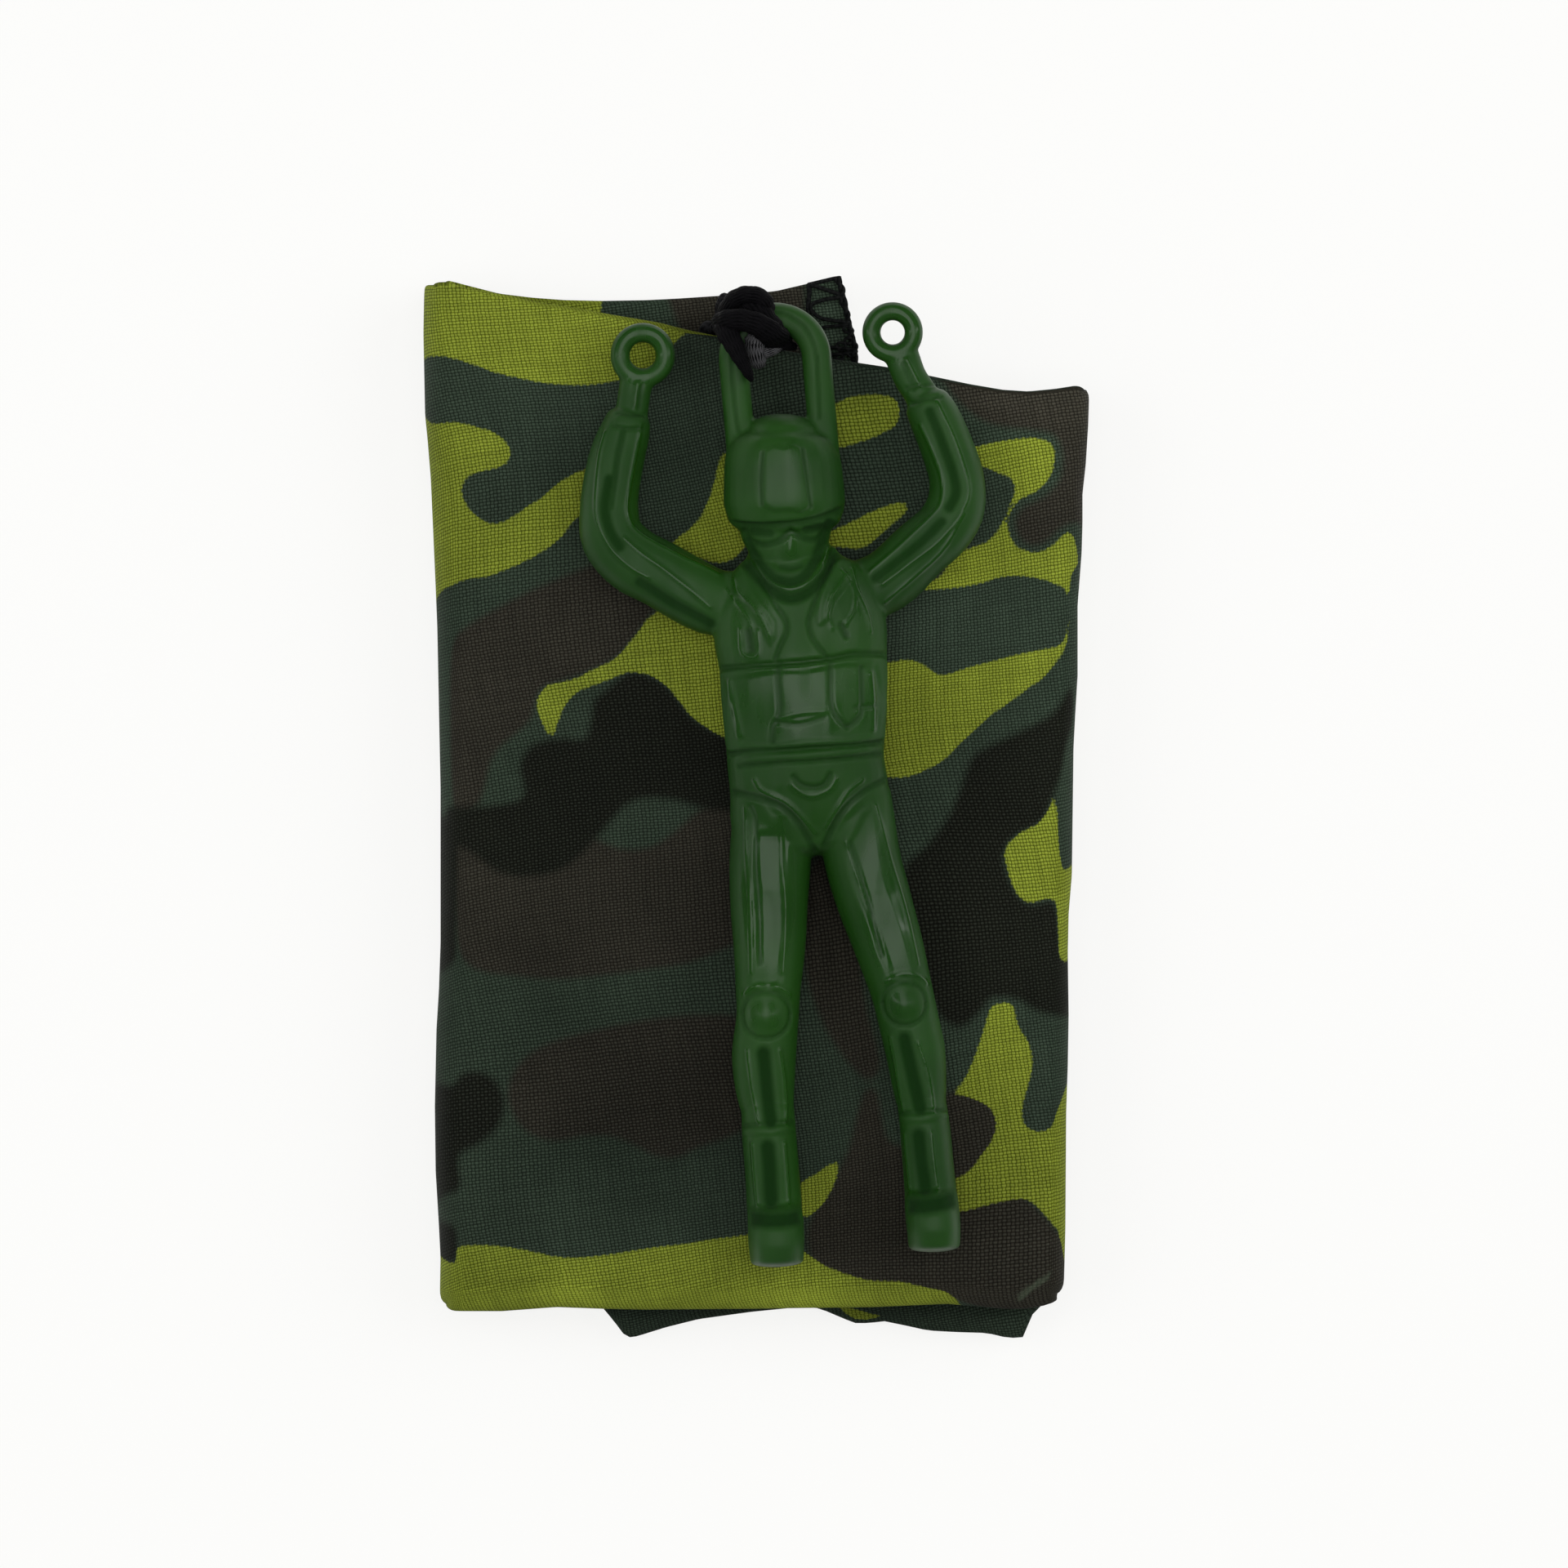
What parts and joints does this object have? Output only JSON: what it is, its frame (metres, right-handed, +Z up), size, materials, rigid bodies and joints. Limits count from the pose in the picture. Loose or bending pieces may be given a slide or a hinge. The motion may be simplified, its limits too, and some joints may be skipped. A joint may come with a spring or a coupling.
{
  "type": "toy parachute",
  "caption": "Toy parachute packed for storage: folded camouflage cloth canopy with gathered lines and a moulded plastic jumper tied on by a helmet loop.",
  "frame": {"origin": "middle of the packet's box, on the surface that it lies on", "axes": "+Y along the packet's long side towards the figure's helmet loop, +Z up out of the surface, +X towards the packet's open edge, away from its spine"},
  "size_m": [0.066, 0.105, 0.0216],
  "materials": {
    "moulded_plastic": "glossy moulded dark green plastic, slightly translucent",
    "canopy_cloth": "thin plain-woven cloth with a lime, dark green, brown and black camouflage print",
    "hem_thread": "black overlock thread",
    "braided_cord": "soft black braided cord"
  },
  "bodies": {
    "back_cover": {"canopy_back": "canopy_cloth", "canopy_hem": "hem_thread"},
    "front_cover": {"canopy_front": "canopy_cloth", "line_1": "braided_cord", "line_2": "braided_cord", "line_3": "braided_cord", "line_4": "braided_cord", "corner_tie_1": "braided_cord", "corner_tie_2": "braided_cord", "corner_tie_3": "braided_cord", "corner_tie_4": "braided_cord"},
    "knot": {"loop_knot": "braided_cord"},
    "jumper": {"figure": "moulded_plastic"}
  },
  "joints": [
    {"name": "canopy_unfold", "type": "hinge", "parent": "back_cover", "child": "front_cover", "pos_m": [-0.033, 0, 0.00395], "axis": [0, -1, 0], "range_deg": [0, 120]},
    {"name": "figure_lift", "type": "hinge", "parent": "front_cover", "child": "knot", "pos_m": [-0.00234, 0.04965, 0.0106], "axis": [-1, 0, 0], "range_deg": [0, 130]},
    {"name": "figure_swivel", "type": "hinge", "parent": "knot", "child": "jumper", "pos_m": [0.00185, 0.04427, 0.0155], "axis": [0, 0, 1], "range_deg": [-20, 25]}
  ]
}
